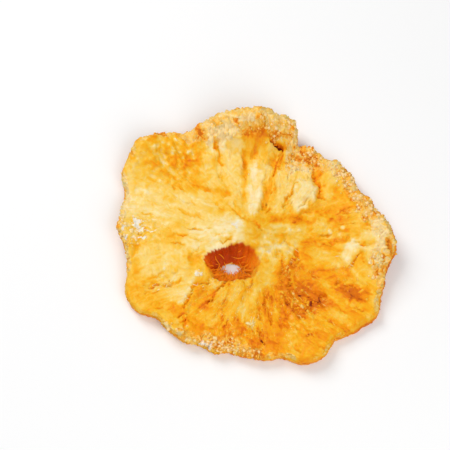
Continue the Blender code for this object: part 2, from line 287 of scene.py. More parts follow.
# The low tones of the pits are partly painted shade in the hollows, under the crust at the top and on the lower right.
PITS = [  # torn hollows with ragged walls
    ((10.0, 30.2, 0.3), (13.6, 30.0, 0.2), -0.9, 0.20),
    ((-0.4, 33.4, 0.7), (3.6, 33.9, 0.4), -0.6, 0.22), ((4.4, 33.1, 0.5), (8.8, 33.3, 0.4), -0.8, 0.18),
    ((12.6, 28.2, 0.6), (15.2, 26.4, 0.5), -0.8, 0.20), ((15.2, 29.2, 0.5), (16.6, 28.8, 0.4), -0.6, 0.26),
    ((19.2, 27.8, 0.6), (19.8, 24.6, 0.5), -0.7, 0.24), ((21.4, 21.8, 0.4), (19.6, 20.4, 0.3), -0.6, 0.26),
    ((11.2, -14.6, 0.5), (14.0, -16.0, 0.6), -0.6, 0.27), ((16.2, -14.4, 0.3), (20.8, -16.0, 0.5), -0.7, 0.23),
    ((12.8, -18.6, 0.5), (14.4, -20.4, 0.3), -0.6, 0.25), ((17.0, -17.0, 0.2), (21.4, -17.8, 0.3), -0.5, 0.27),
    ((17.0, -18.6, 0.2), (17.6, -21.0, 0.2), -0.5, 0.28), ((-14.6, 34.4, 0.6), (-13.6, 33.4, 0.5), -0.5, 0.26),
]
BEADS_AND_GLINTS = [  # (x, y, radius, rise, tone): drops of gelled juice, pale partly from drying and partly as painted highlight
    (-22.0, 33.0, 1.0, 0.7, 1.10), (-22.7, 29.4, 0.9, 0.6, 1.10), (-17.9, 29.4, 1.0, 0.6, 1.02), (-12.0, 32.0, 0.6, 0.4, 0.95),
    (-28.0, 29.6, 0.9, 0.4, 0.86), (-25.5, 31.4, 0.7, 0.4, 0.84), (-16.8, 27.2, 0.6, 0.4, 0.84), (-20.6, 26.0, 0.5, 0.3, 0.7),
    (-30.3, 16.4, 0.8, 0.2, 0.98), (-34.2, 10.2, 0.6, 0.2, 0.98), (-26.2, 19.4, 0.7, 0.3, 0.92), (-26.6, 16.8, 0.8, 0.2, 0.90),
    (-24.5, -10.5, 0.5, 0.3, 1.0), (-22.0, -9.1, 0.5, 0.3, 1.0), (-24.4, -7.5, 0.5, 0.2, 0.92), (-0.6, -24.4, 1.3, 0.9, 1.05),
    (8.6, -14.5, 0.5, 0.3, 0.92), (31.1, -15.0, 0.5, 0.3, 0.90), (34.6, -15.0, 0.6, 0.3, 0.80), (26.2, 4.6, 1.3, 0.4, 1.05),
    (23.0, 3.4, 1.3, 0.3, 1.0), (11.2, 3.8, 0.7, 0.3, 0.92), (14.2, 3.2, 0.6, 0.3, 0.90), (28.0, 7.4, 0.6, 0.3, 0.82),
    (11.6, -24.4, 0.8, 0.3, 0.66), (9.6, -24.0, 0.5, 0.3, 0.62), (-8.6, 23.0, 0.5, 0.2, 0.92), (25.0, -15.6, 0.5, 0.2, 0.56),
]
HOLLOWS = [  # (start, end, edge softness, rise): low ground beside a torn step
    ((-10.5, -13.5, 2.2), (-12.6, -21.0, 5.0), 0.7, -0.8),
]
FIBRE_CENTRE, LOWER_FIBRE_CENTRE = (2.2, 1.9), (2.8, -4.0)


def ease(value):
    """0 below 0, 1 above 1, with a smooth ramp between them."""
    value = np.clip(value, 0, 1)
    return value * value * (3 - 2 * value)


def beyond(x, y, start, end):
    """How far outside a stroke a point is, in millimetres. It is negative inside the stroke."""
    x0, y0, width0 = start
    x1, y1, width1 = end
    dx, dy = x1 - x0, y1 - y0
    along = np.clip(((x - x0) * dx + (y - y0) * dy) / (dx * dx + dy * dy), 0, 1)
    return np.hypot(x - x0 - along * dx, y - y0 - along * dy) - width0 - (width1 - width0) * along


def torn(x, y):
    """Shifts places a little at random, which tears the edges of whatever is drawn with them."""
    shift_x = 0.5 * ripple(x, y, 3.2, 31) + 0.24 * ripple(x, y, 1.3, 33)
    shift_y = 0.5 * ripple(x, y, 3.2, 32) + 0.24 * ripple(x, y, 1.3, 34)
    return x + shift_x, y + shift_y


def round_the_fibres(x, y):
    """(degrees, radius) round the fibre centre, which is lower for the lower half. The fibres sway a little."""
    lower = ease((-2.0 - y) / 10.0)
    x = x - FIBRE_CENTRE[0] - lower * (LOWER_FIBRE_CENTRE[0] - FIBRE_CENTRE[0])
    y = y - FIBRE_CENTRE[1] - lower * (LOWER_FIBRE_CENTRE[1] - FIBRE_CENTRE[1])
    radius = np.hypot(x, y)
    sway = 2.4 * np.sin(0.19 * x + 0.6) + 2.0 * np.sin(0.23 * y - 0.9)
    return np.degrees(np.arctan2(y, x)) + sway * np.clip(radius / 20.0, 0, 1), radius


def along_the_fibres(count, seed, lengths, half_widths, rise, spread):
    """Random narrow strokes along the fibres: (degrees, from radius, to radius, half width, rise)."""
    random = np.random.default_rng(seed)
    for _ in range(count):
        start = random.uniform(6, 32)
        end = start + random.uniform(*lengths)
        yield random.uniform(0, 360), start, end, random.uniform(*half_widths), random.normal(rise, spread)


BUNDLES = list(along_the_fibres(260, 4, (4, 11), (0.3, 0.8), 0.0, 0.17))
SPLITS = list(along_the_fibres(210, 9, (1.5, 5.0), (0.16, 0.3), -0.42, 0.2))
EDGE = {"petal": 1.1, "lobe": 0.9, "furrow": 0.45, "pit": 0.8, "bead": 0.45}  # how soft the edges are


def strokes():
    """Every named stroke as (start, end, edge softness, rise, tone), in the order they are laid on."""
    for kind, group in (("petal", PETALS), ("lobe", LOBES), ("furrow", FURROWS), ("pit", PITS)):
        for start, end, rise, tone in group:
            yield start, end, EDGE[kind], rise, tone
    for x, y, radius, rise, tone in BEADS_AND_GLINTS:
        yield (x - 0.1, y, radius * 0.6), (x + 0.1, y, radius * 0.6), EDGE["bead"], rise, tone


def bundle_field(x, y, bundles):
    """The sum of random strokes along the fibres at each point."""
    degrees, radius = round_the_fibres(x, y)
    total = np.zeros_like(x)
    for middle, start, end, half_width, rise in bundles:
        sideways = radius * np.radians(np.mod(degrees - middle + 180.0, 360.0) - 180.0)
        along = (radius - (start + end) / 2) / ((end - start) / 2)
        total += rise * np.exp(-((sideways / half_width) ** 2) - np.abs(along) ** 3)
    return total


def relief(x, y):
    """Height of the strokes and bundles on the top."""
    x, y = torn(x, y)
    height = bundle_field(x, y, BUNDLES + SPLITS)
    for start, end, soft, rise in HOLLOWS:
        height += rise * ease((soft - beyond(x, y, start, end)) / (2 * soft))
    for start, end, soft, rise, _ in strokes():
        height += rise * ease((soft - beyond(x, y, start, end)) / (2 * soft))
    return height


def sheet(x, y):
    """(underside, top) of the slice before its edges are rounded. It lies flat where it sags to the table."""
    level = SHEET_LEVEL + bumps(x, y, SWELLS)
    top = level + FLESH + bumps(x, y, THICKER) + relief(x, y) + 0.2 * ripple(x, y, 6.0, 7)
    under = np.maximum(level, 0.0)
    return under, np.maximum(top, under + THINNEST)


# %% [markdown]
# ## A mesh laid out in rings
#
# The slice is one closed skin: over the top, down the wall of the hole, back along the underside and up the rim. Rings
# of equal point count would crowd the hole and starve the rim, so the count doubles twice on the way out: each
# doubling ring is stitched with three triangles where an ordinary one has a quad. That keeps the points about a third
# of a millimetre apart, close enough for fibres and crumbs.

# %% Rings and rows
COLUMNS = 208
TOP_ROWS, RIM_ROWS, UNDER_ROWS, WALL_ROWS = 100, 15, 34, 22
RIM_CORNER, MOUTH_CORNER = 0.05, 0.024
DOUBLE_AT = (0.2, 0.5)


def columns_at(share):
    """How many points a ring has at this share of the way from the hole to the rim."""
    return COLUMNS * 2 ** sum(share > limit for limit in DOUBLE_AT)


def section():
    """(share of the way out, height from -1 under to 1 on top, points) of each ring, from the throat over the top."""
    wall = np.linspace(-math.pi / 2, math.pi / 2, WALL_ROWS + 2)[1:-1]
    bend = np.linspace(math.pi / 2, -math.pi / 2, RIM_ROWS + 2)[1:-1]
    rows = [(MOUTH_CORNER * (1 - math.cos(a)), math.sin(a), COLUMNS) for a in wall]
    rows += [(share, 1.0, columns_at(share)) for share in np.linspace(MOUTH_CORNER, 1 - RIM_CORNER, TOP_ROWS)]
    rows += [(1 - RIM_CORNER * (1 - math.cos(a)), math.sin(a), columns_at(1)) for a in bend]
    coarse = np.linspace(1 - RIM_CORNER, MOUTH_CORNER, UNDER_ROWS)
    rows += [(share, -1.0, max(COLUMNS, columns_at(share) // 2)) for share in coarse]
    return rows


def place(turn, share, height):
    """Position, round the heart, of the points at these turns, shares of the way out and heights."""
    drop = (1.0 - height) / 2
    inner_x, inner_y = mouth(turn, drop)
    outer_x, outer_y = rim(turn, drop)
    x = inner_x + (outer_x - inner_x) * share
    y = inner_y + (outer_y - inner_y) * share
    under, top = sheet(x, y)
    return np.stack([x, y, (under + top) / 2 + height * (top - under) / 2], axis=-1)


def stitch(first, first_count, second, second_count):
    """Faces between two rings whose point counts are equal, or one twice the other."""
    faces = []
    if first_count == second_count:
        for i in range(first_count):
            j = (i + 1) % first_count
            faces.append((first + i, first + j, second + j, second + i))
    elif second_count == 2 * first_count:
        for i in range(first_count):
            a, b = first + i, first + (i + 1) % first_count
            c, d, e = second + 2 * i, second + 2 * i + 1, second + (2 * i + 2) % second_count
            faces += [(a, d, c), (a, b, d), (b, e, d)]
    else:
        for i in range(second_count):
            a, b = second + i, second + (i + 1) % second_count
            c, d, e = first + 2 * i, first + 2 * i + 1, first + (2 * i + 2) % first_count
            faces += [(a, c, d), (a, d, b), (b, d, e)]
    return faces


rows = section()
starts = np.concatenate([[0], np.cumsum([count for _, _, count in rows])])
turn = np.concatenate([np.arange(count) * 2 * math.pi / count for _, _, count in rows])
share = np.concatenate([np.full(count, row) for row, _, count in rows])
height = np.concatenate([np.full(count, side) for _, side, count in rows])
skin = place(turn, share, height)
faces = []
for row in range(len(rows)):
    after = (row + 1) % len(rows)
    faces += stitch(int(starts[row]), rows[row][2], int(starts[after]), rows[after][2])
print(len(skin), "points,", len(faces), "faces")

# %% [markdown]
# ## What the flesh knows
#
# Colour on dried pineapple follows its history: pale where sugar and starch dried out, amber where the juice gelled,
# brown in the deepest folds, and a crumbly crust round the rim. The brown of the folds is partly painted shade, and the
# wall of the hole and the rim's shaded edges carry painted light and shade too. So every point of the mesh keeps a tone
# and a few numbers from 0 to 1, and the material and the scattered crumbs all read the same map. The tone is laid on
# like paint: broad patches first, then the strokes that shaped the surface, so shape and colour agree.

# %% Maps of the flesh
CRUST_WIDTH = [  # (degrees round the heart, width in millimetres)
    (0, 6.4), (10, 5.4), (20, 4.6), (32, 4.2), (44, 5.0), (52, 7.5), (62, 10.5), (75, 8.0), (90, 7.6), (100, 8.8),
    (108, 8.4), (116, 5.0), (125, 2.2), (138, 1.5), (152, 1.3), (172, 1.8), (188, 1.2), (203, 0.6), (222, 0.7), (238, 2.6),
    (250, 4.6), (264, 4.0), (276, 1.8), (292, 0.8), (310, 0.5), (328, 0.8), (340, 2.6), (350, 5.0),
]
BASE_TONE = 0.64
# Most patches are the flesh's own tone. The dark patches on the lower right, round (12.5, -11.5), (15.5, -17.5) and
# (29.0, -15.6), and those right of the step on the lower left are partly painted shade, where the slopes face away from
# the lamp. The patch of tone 1.02 at (-4.2, 4.4) is a painted highlight.
PATCHES = [  # (x, y, reach along x, reach along y, tone), laid on in this order
    (-17.5, 26.5, 7.0, 6.5, 0.58), (-14.6, 27.4, 2.2, 2.4, 0.46), (-19.5, 35.0, 3.0, 1.6, 0.56), (-27.0, 24.0, 4.0, 4.0, 0.68),
    (-30.0, 31.5, 3.0, 2.0, 0.56), (-29.5, 12.0, 10.0, 9.0, 0.84), (-17.0, 12.5, 9.0, 5.5, 0.76), (-36.0, 20.5, 3.5, 2.0, 0.80),
    (-25.0, -6.5, 10.0, 7.0, 0.79), (-9.0, 23.0, 6.0, 6.0, 0.76), (-33.5, -8.5, 2.5, 3.5, 0.64), (-26.0, -20.0, 8.0, 3.6, 0.60), (-20.5, -20.0, 2.5, 2.5, 0.44),
    (-31.5, 4.0, 6.0, 4.5, 0.76), (-13.0, -16.5, 5.0, 4.5, 0.50), (-3.5, -16.5, 6.5, 6.5, 0.60), (-15.5, -25.5, 3.6, 3.6, 0.36),
    (-9.5, -26.5, 3.5, 3.0, 0.44), (-4.0, -26.5, 3.0, 4.0, 0.36), (5.0, -20.0, 4.0, 6.0, 0.50), (5.0, -30.0, 6.0, 5.0, 0.40),
    (12.5, -11.5, 6.5, 5.5, 0.32), (15.5, -17.5, 8.8, 5.6, 0.22), (10.5, -24.0, 3.5, 3.5, 0.35), (29.0, -15.6, 5.5, 2.6, 0.26),
    (23.0, -10.0, 6.0, 2.8, 0.46), (27.0, -26.0, 12.0, 8.0, 0.52), (14.0, -30.0, 6.0, 6.0, 0.46), (19.0, -33.0, 8.0, 3.0, 0.56),
    (25.0, 9.5, 7.0, 4.6, 0.47), (26.0, 14.6, 2.4, 2.4, 0.55), (12.0, 6.6, 9.0, 1.6, 0.46), (17.0, 0.0, 2.4, 1.1, 0.44),
    (19.0, -4.6, 5.5, 3.0, 0.58), (26.0, 0.4, 4.0, 0.9, 0.40), (34.0, -2.0, 4.5, 5.0, 0.74), (9.0, 3.6, 6.0, 1.8, 0.76),
    (-9.0, 5.0, 10.0, 4.6, 0.89), (-11.0, 0.4, 9.0, 4.4, 0.91), (-4.2, 4.4, 2.4, 2.4, 1.02), (-14.0, 5.6, 2.4, 1.6, 0.88), (7.0, -2.6, 6.2, 4.4, 0.81),
    (0.6, 5.4, 2.0, 2.0, 0.60), (-11.5, -8.0, 1.4, 3.0, 0.42), (-20.5, -13.5, 4.0, 4.5, 0.82),
    (-8.5, 32.0, 4.6, 4.4, 0.92), (8.0, 37.0, 8.0, 3.0, 0.68), (-1.0, 36.6, 3.0, 1.4, 0.88), (1.0, 33.0, 4.2, 2.2, 0.46),
    (13.0, 28.6, 3.0, 2.4, 0.86), (16.8, 26.2, 1.8, 1.6, 0.42), (36.0, -2.0, 3.0, 8.0, 0.92), (31.0, 17.5, 2.0, 5.0, 0.84),
]
BEADED = [  # (x, y, reach along x, reach along y, how much): where the flesh dried in small drops
    (-22.0, 27.0, 9.0, 8.0, 1.0), (7.0, -2.5, 6.5, 5.0, 0.8), (15.5, -17.5, 6.0, 5.0, 0.7), (-31.0, 4.5, 5.0, 4.0, 0.9),
    (-3.0, -28.5, 9.0, 4.0, 0.8), (14.0, 28.0, 8.0, 5.0, 0.7), (24.0, 5.0, 6.0, 4.0, 0.5), (-24.0, -9.0, 5.0, 3.0, 0.4),
]
STRANDED = [  # where the fibres show
    (-3.0, -18.0, 13.0, 9.0, 1.0), (20.0, -26.0, 12.0, 9.0, 0.6), (12.0, -11.0, 5.0, 5.0, 0.8), (-22.0, 8.0, 12.0, 6.0, 0.15),
    (4.0, 18.0, 12.0, 9.0, 0.3), (-24.0, -14.0, 8.0, 6.0, 0.5), (20.0, -4.0, 8.0, 6.0, 0.5), (28.0, -12.0, 6.0, 6.0, 0.5),
]
CRUMBLED = [  # where the crust and the flesh broke into crumbs
    (33.0, 14.0, 2.4, 6.0, 0.9), (28.0, 20.0, 3.4, 3.4, 0.9), (18.0, 27.5, 4.5, 2.6, 0.7), (37.0, 7.0, 2.0, 3.0, 0.6),
    (-12.0, -31.0, 6.0, 2.2, 1.0), (-3.0, -32.5, 5.0, 2.0, 0.7), (-20.5, -26.5, 4.0, 1.6, 0.5), (-34.0, 3.5, 3.4, 4.5, 0.7),
    (5.0, -1.5, 4.0, 3.0, 0.25), (-14.5, -9.5, 2.0, 2.0, 0.45), (14.0, -18.0, 5.0, 4.0, 0.5), (8.0, 35.0, 10.0, 4.0, 0.4),
    (-13.0, 35.0, 4.0, 1.6, 0.3), (36.0, -8.0, 2.4, 4.0, 0.45), (33.0, -17.0, 2.0, 3.0, 0.3),
    (10.5, -12.0, 2.6, 4.0, 0.45), (26.0, -11.5, 5.0, 2.0, 0.3), (24.0, 4.0, 4.0, 3.0, 0.12),
]
# Where the flesh is painted sugar white: partly a film of dried sugar, partly painted highlight standing in for glints
# on glossy flesh.
SUGAR_AND_GLINTS = [
    (-32.4, 6.6, 1.8, 1.0, 1.0), (-33.0, 4.8, 1.2, 0.8, 0.9), (-31.0, 3.7, 1.6, 0.5, 0.9), (-36.3, 4.0, 0.9, 0.8, 0.9),
    (-27.6, 3.4, 1.5, 0.4, 0.9), (-35.3, 0.8, 0.9, 1.2, 0.9), (-31.0, 1.0, 1.7, 0.5, 1.0), (-15.0, -10.0, 1.0, 0.9, 0.8),
    (-13.0, -30.4, 1.4, 0.7, 0.8), (-11.0, -31.0, 1.0, 0.6, 0.7), (-4.2, 4.6, 1.4, 1.6, 0.75),
]
on_top = height > 0.2
x, y = skin[:, 0], skin[:, 1]
torn_x, torn_y = torn(x, y)
heart_turn = np.arctan2(y, x)
inward = edge_distance(heart_turn) - np.hypot(x, y)
crust_width = smooth_closed(CRUST_WIDTH, np.degrees(heart_turn)) + 0.9 * ripple(x, y, 4.5, 35)
crust = ease((crust_width - inward) / 1.6 + 0.5) * np.clip(crust_width / 1.5, 0, 1)

tone = np.full_like(x, BASE_TONE)
for middle_x, middle_y, reach_x, reach_y, value in PATCHES:
    far = np.hypot((torn_x - middle_x) / reach_x, (torn_y - middle_y) / reach_y)
    tone += (value - tone) * ease((1.25 - far) / 0.7)
# Bundles raise or lower the tone at random, and the splits between them darken it: painted shade in the splits.
tone += 0.22 * bundle_field(torn_x, torn_y, BUNDLES)
tone = np.maximum(tone + 0.5 * bundle_field(torn_x, torn_y, SPLITS), np.minimum(tone, 0.24))
for start, end, soft, _, value in strokes():
    tone += (value - tone) * 0.92 * ease((soft - beyond(torn_x, torn_y, start, end)) / (2 * soft))
wall = ease((0.017 - share) / 0.008) * (np.abs(height) < 0.99)
drop = (1 - height) / 2
# The rim wall and underside are painted darker round the right side, where the wall faces away from the lamp: painted
# shade.
painted_wall_shade = 0.16 * np.exp(-(((np.degrees(heart_turn) + 12.0) / 40.0) ** 2))
tone = np.where(on_top, tone, 0.44 - painted_wall_shade + 0.5 * bundle_field(x, y, BUNDLES))
# The wall of the hole is painted lighter on its lower right, which faces the lamp, and darker on its upper left under
# the toothed lip: painted light and shade on the wall's own red-orange. Near the mouth it is also lighter from the left
# round to the bottom.
hole_turn = np.arctan2(y - HOLE_MIDDLE[1], x - HOLE_MIDDLE[0])
lit = 0.5 + 0.5 * np.cos(hole_turn - math.radians(-62.0))
wall_tone_and_painted_light = 0.02 + 0.85 * lit ** 1.3 + 0.45 * (lit - 0.25) * (1 - drop)
wall_tone_and_painted_light += 0.75 * between(np.mod(np.degrees(hole_turn), 360.0), 172.0, 262.0, 40.0) * np.clip(1 - 1.6 * drop, 0, 1)
# The upper-left lip of the hole is paled towards cream: partly the pale crumbly core, partly painted light where the
# lip faces the lamp.
lip = between(np.degrees(hole_turn), 95.0, 188.0, 25.0) * np.exp(-(((share - 0.02) / 0.016) ** 2)) * on_top
tone += (1.0 - tone) * 0.6 * lip
maps = {
    "tone": tone,
    "crust": crust * np.where(on_top, 1.0, 0.3 - 0.3 * np.exp(-(((np.degrees(heart_turn) + 50.0) / 40.0) ** 2))),
    "beaded": np.where(on_top, bumps(torn_x, torn_y, BEADED), 0.1),
    "stranded": np.where(on_top, 0.16 + bumps(x, y, STRANDED), 0.6),
    "sugar": np.where(on_top, bumps(torn_x, torn_y, SUGAR_AND_GLINTS), 0.0),
    "crumbled": np.where(on_top, bumps(torn_x, torn_y, CRUMBLED), 0.12 * crust),
    "wall": wall,
    "wall_tone_and_painted_light": wall_tone_and_painted_light,
}
maps = {name: np.clip(values, 0, 1) for name, values in maps.items()}

FIBRES_ROUND, FIBRE_STRETCH = 26.0, 0.11
grain_turn = np.radians(round_the_fibres(x, y)[0])
grain_radius = round_the_fibres(x, y)[1]
grain = np.stack([
    FIBRES_ROUND * np.cos(grain_turn), FIBRES_ROUND * np.sin(grain_turn), FIBRE_STRETCH * grain_radius + 9.0 * height,
], axis=-1)


def new_mesh(name, points, faces, edges=()):
    """A mesh object at the origin, from points in millimetres round the heart."""
    mesh = bpy.data.meshes.new(name)
    placed = (points + [HEART[0], HEART[1], 0.0]) * MM
    mesh.from_pydata(placed.tolist(), list(edges), faces)
    mesh.validate()
    thing = bpy.data.objects.new(name, mesh)
    bpy.context.scene.collection.objects.link(thing)
    return thing


def keep_map(mesh, name, kind, values):
    """Stores a number or a vector on every point."""
    layer = mesh.attributes.new(name, kind, "POINT")
    layer.data.foreach_set("vector" if kind == "FLOAT_VECTOR" else "value", values.astype(np.float32).ravel())


way = np.stack([np.cos(grain_turn), np.sin(grain_turn), np.zeros_like(x)], axis=-1)
blank = new_mesh("flesh_blank", skin, faces)
for name, values in maps.items():
    keep_map(blank.data, name, "FLOAT", values)
keep_map(blank.data, "grain", "FLOAT_VECTOR", grain)
keep_map(blank.data, "way", "FLOAT_VECTOR", way)
print("maps:", {name: round(float(values.mean()), 2) for name, values in maps.items()})

# %% [markdown]
# ## Node expressions
#
# Both Geometry Nodes and materials are graphs, and a graph that does arithmetic is hard to read as boxes. So one small
# class stands for a node's output: adding or multiplying it adds the Math node. Every other node comes from one method.

# %% Terms and nodes
class Term:
    """An output in a node tree. Arithmetic on it adds Math nodes to the tree."""

    def __init__(self, tree, socket):
        self.tree = tree
        self.socket = socket

    def math(self, operation, *values):
        return node(self.tree, "ShaderNodeMath", {"operation": operation}, dict(enumerate(values)))

    def __add__(self, other):
        return self.math("ADD", self, other)

    def __sub__(self, other):
        return self.math("SUBTRACT", self, other)

    def __rsub__(self, other):
        return self.math("SUBTRACT", other, self)

    def __mul__(self, other):
        return self.math("MULTIPLY", self, other)

    def __truediv__(self, other):
        return self.math("DIVIDE", self, other)

    def __rtruediv__(self, other):
        return self.math("DIVIDE", other, self)

    def __pow__(self, other):
        return self.math("POWER", self, other)

    __radd__ = __add__
    __rmul__ = __mul__

    def at_least(self, lowest):
        return self.math("MAXIMUM", self, lowest)

    def also(self, output):
        """Another output of the same node."""
        return Term(self.tree, self.socket.node.outputs[output])

    def clamp(self):
        return node(self.tree, "ShaderNodeClamp", {}, {"Value": self})

    def smooth(self, low, high):
        """0 below low and 1 above high, with a smooth ramp between them."""
        ramp = {"Value": self, "From Min": low, "From Max": high}
        return node(self.tree, "ShaderNodeMapRange", {"interpolation_type": "SMOOTHSTEP"}, ramp)


def node(tree, kind, settings, inputs, output=0):
    """Adds one node: its settings first, then a value or a link for each input named. Gives back one output."""
    made = tree.nodes.new(kind)
    for name, value in settings.items():
        setattr(made, name, value)
    for name, value in inputs.items():
        if isinstance(value, Term):
            tree.links.new(value.socket, made.inputs[name])
        else:
            made.inputs[name].default_value = value
    return Term(tree, made.outputs[output])


# %% [markdown]
# ## Fibres and crumbs in the surface
#
# Up close the flesh is a bundle of fibres, with lumps where the cells collapsed, and the crust is a heap of granules.
# These follow the surface everywhere, so a Geometry Nodes tree pushes every point out along its normal. The fibres are
# noise on a grain map that runs round and out, so they stretch along the spokes and have no seam. The tree also keeps
# how high each point was pushed, so that the material pales the crests and darkens the grooves: partly the flesh
# drying paler on its crests, partly painted shade in the grooves.

# %% The relief tree
def new_tree(name, sizes):
    """A Geometry Nodes tree that takes geometry and named sizes. Gives back the tree and its inputs as terms."""
    tree = bpy.data.node_groups.new(name, "GeometryNodeTree")
    tree.interface.new_socket("Geometry", in_out="INPUT", socket_type="NodeSocketGeometry")
    tree.interface.new_socket("Geometry", in_out="OUTPUT", socket_type="NodeSocketGeometry")
    for size, default in sizes.items():
        socket = tree.interface.new_socket(size, in_out="INPUT", socket_type="NodeSocketFloat")
        socket.default_value = default
    inlet = tree.nodes.new("NodeGroupInput")
    return tree, {socket.name: Term(tree, socket) for socket in inlet.outputs if socket.name}


def named(tree, name, kind="FLOAT"):
    """A map kept on the mesh."""
    return node(tree, "GeometryNodeInputNamedAttribute", {"data_type": kind}, {"Name": name})


def keep(tree, geometry, name, value):
    """Keeps a number on every point under a name."""
    return node(tree, "GeometryNodeStoreNamedAttribute", {}, {"Geometry": geometry, "Name": name, "Value": value})


def noise(tree, where, scale, detail=2.0, roughness=0.5, distortion=0.0):
    """Noise between 0 and 1."""
    inputs = {"Vector": where, "Scale": scale, "Detail": detail, "Roughness": roughness, "Distortion": distortion}
    return node(tree, "ShaderNodeTexNoise", {}, inputs)


def end_tree(tree, geometry, material):
    """Realizes what the tree made and gives it its material."""
    real = node(tree, "GeometryNodeRealizeInstances", {}, {"Geometry": geometry})
    finished = node(tree, "GeometryNodeSetMaterial", {}, {"Geometry": real, "Material": material})
    outlet = tree.nodes.new("NodeGroupOutput")
    tree.links.new(finished.socket, outlet.inputs["Geometry"])


def relief_tree(material):
    tree, size = new_tree("flesh_relief", {
        "Fibre height": 0.9 * MM, "Lump height": 0.7 * MM, "Lump pitch": 2.8 * MM, "Bead height": 0.55 * MM,
        "Bead pitch": 1.5 * MM, "Crumb height": 1.9 * MM, "Crumb pitch": 2.0 * MM, "Curl height": 1.0 * MM,
        "Curl pitch": 2.6 * MM, "Fold height": 2.2 * MM, "Fold pitch": 4.2 * MM,
    })
    crust = named(tree, "crust")
    beaded = named(tree, "beaded")
    position = node(tree, "GeometryNodeInputPosition", {}, {})
    normal = node(tree, "GeometryNodeInputNormal", {}, {})
    fibres = noise(tree, named(tree, "grain", "FLOAT_VECTOR"), 1.0, 3.0, 0.62, 0.35)
    lumps = noise(tree, position, 1 / size["Lump pitch"], 2.0, 0.5, 0.4)
    cells = {"Vector": position, "Scale": 1 / size["Bead pitch"], "Smoothness": 0.3}
    beads = node(tree, "ShaderNodeTexVoronoi", {"feature": "SMOOTH_F1"}, cells)
    cells = {"Vector": position, "Scale": 1 / size["Crumb pitch"], "Detail": 2.0, "Roughness": 0.62, "Smoothness": 0.4}
    crumbs = node(tree, "ShaderNodeTexVoronoi", {"feature": "SMOOTH_F1", "normalize": True}, cells)
    curls = noise(tree, position, 1 / size["Curl pitch"], 2.0, 0.55, 1.2) - 0.5
    curls = (1 - curls.math("ABSOLUTE", curls) * 9).clamp() - 0.3
    curl = curls * (crust + beaded * 0.5 + 0.14).clamp()
    strand = (fibres - 0.5) * (1 - 0.75 * crust) * named(tree, "stranded")
    lump = lumps - 0.5
    bead = (0.42 - beads) * beaded * (1 - 0.6 * crust)
    crumbly = (0.35 + named(tree, "crumbled")).clamp()
    folds = noise(tree, position, 1 / size["Fold pitch"], 1.5, 0.5, 0.9) - 0.5
    crumb = (0.30 - crumbs) * crust * crumbly
    lift = strand * size["Fibre height"] + lump * size["Lump height"]
    lift = lift + bead * size["Bead height"] * 1.5 + crumb * size["Crumb height"] + curl * size["Curl height"]
    lift = lift + folds * crust * size["Fold height"]
    crest = (0.5 + strand * 1.2 + lump * 0.5 + bead * 1.3 + crumb * 0.9 + curl * 0.6 + folds * crust * 0.7).clamp()
    offset = node(tree, "ShaderNodeVectorMath", {"operation": "SCALE"}, {0: normal, "Scale": lift})
    kept = keep(tree, size["Geometry"], "crest", crest)
    moved = node(tree, "GeometryNodeSetPosition", {}, {"Geometry": kept, "Offset": offset})
    end_tree(tree, moved, material)
    return tree


SOFT_TOP = 0.8 * MM


def finish_tree(thing, tree, name):
    """Runs a tree on an object and gives back the result as a plain mesh object at the origin.

    Points below the table are lifted onto it, and the highest ones are eased under the height of the slice.
    """
    modifier = thing.modifiers.new("grow", "NODES")
    modifier.node_group = tree
    for item in tree.interface.items_tree:
        if item.in_out == "INPUT" and item.socket_type == "NodeSocketFloat":
            modifier[item.identifier] = item.default_value
    depsgraph = bpy.context.evaluated_depsgraph_get()
    mesh = bpy.data.meshes.new_from_object(thing.evaluated_get(depsgraph), depsgraph=depsgraph)
    thing.modifiers.remove(modifier)
    mesh.name = name
    points = np.empty(len(mesh.vertices) * 3, np.float32)
    mesh.vertices.foreach_get("co", points)
    points = points.reshape(-1, 3)
    over = np.maximum(points[:, 2] - cad_high[2] + SOFT_TOP, 0)
    points[:, 2] = np.where(over > 0, cad_high[2] - SOFT_TOP + SOFT_TOP * np.tanh(over / SOFT_TOP), points[:, 2])
    points[:, 2] = np.maximum(points[:, 2], 0.0)
    mesh.vertices.foreach_set("co", points.ravel())
    mesh.shade_smooth()
    mesh.update()
    grown = bpy.data.objects.new(name, mesh)
    bpy.context.scene.collection.objects.link(grown)
    return grown


# %% [markdown]
# ## The flesh
#
# Light goes a few millimetres into dried fruit and comes out warmer, which is what subsurface scattering does. The
# colour comes from the tone through one ramp, from burnt brown to cream. The crest that the relief tree kept is added
# to the tone first, with noise along the fibres, and no edge is a clean line: crests come out paler, partly as drier
# flesh, and grooves darker, as painted shade. The crust has a ramp of its own, because it is beige and dusty where the
# flesh is yellow and moist; its grooves and the ground between its crumbs are painted darker as painted shade.

# %% The flesh material
FLESH_RAMP = [
    (0.00, (0.22, 0.022, 0.001)), (0.08, (0.64, 0.140, 0.002)), (0.28, (0.82, 0.220, 0.002)), (0.42, (0.94, 0.345, 0.003)),
    (0.56, (0.96, 0.455, 0.010)), (0.70, (0.97, 0.565, 0.062)), (0.84, (0.98, 0.670, 0.190)), (1.00, (1.00, 0.800, 0.460)),
]
CRUST_RAMP = [
    (0.00, (0.66, 0.170, 0.006)), (0.20, (0.84, 0.290, 0.012)), (0.40, (0.97, 0.450, 0.040)), (0.60, (1.00, 0.560, 0.095)),
    (0.80, (1.00, 0.640, 0.190)), (1.00, (1.00, 0.730, 0.350)),
]
DEEP_RAMP = [(0.0, (0.52, 0.048, 0.001)), (0.35, (0.80, 0.120, 0.001)), (0.7, (0.95, 0.270, 0.004)), (1.0, (0.98, 0.440, 0.020))]
SUGAR_AND_GLINT_WHITE = (1.0, 0.88, 0.72, 1)


def blend(tree, amount, first, second):
    """Mixes two colours."""
    settings = {"data_type": "RGBA", "clamp_factor": True}
    return node(tree, "ShaderNodeMix", settings, {0: amount, 6: first, 7: second}, 2)


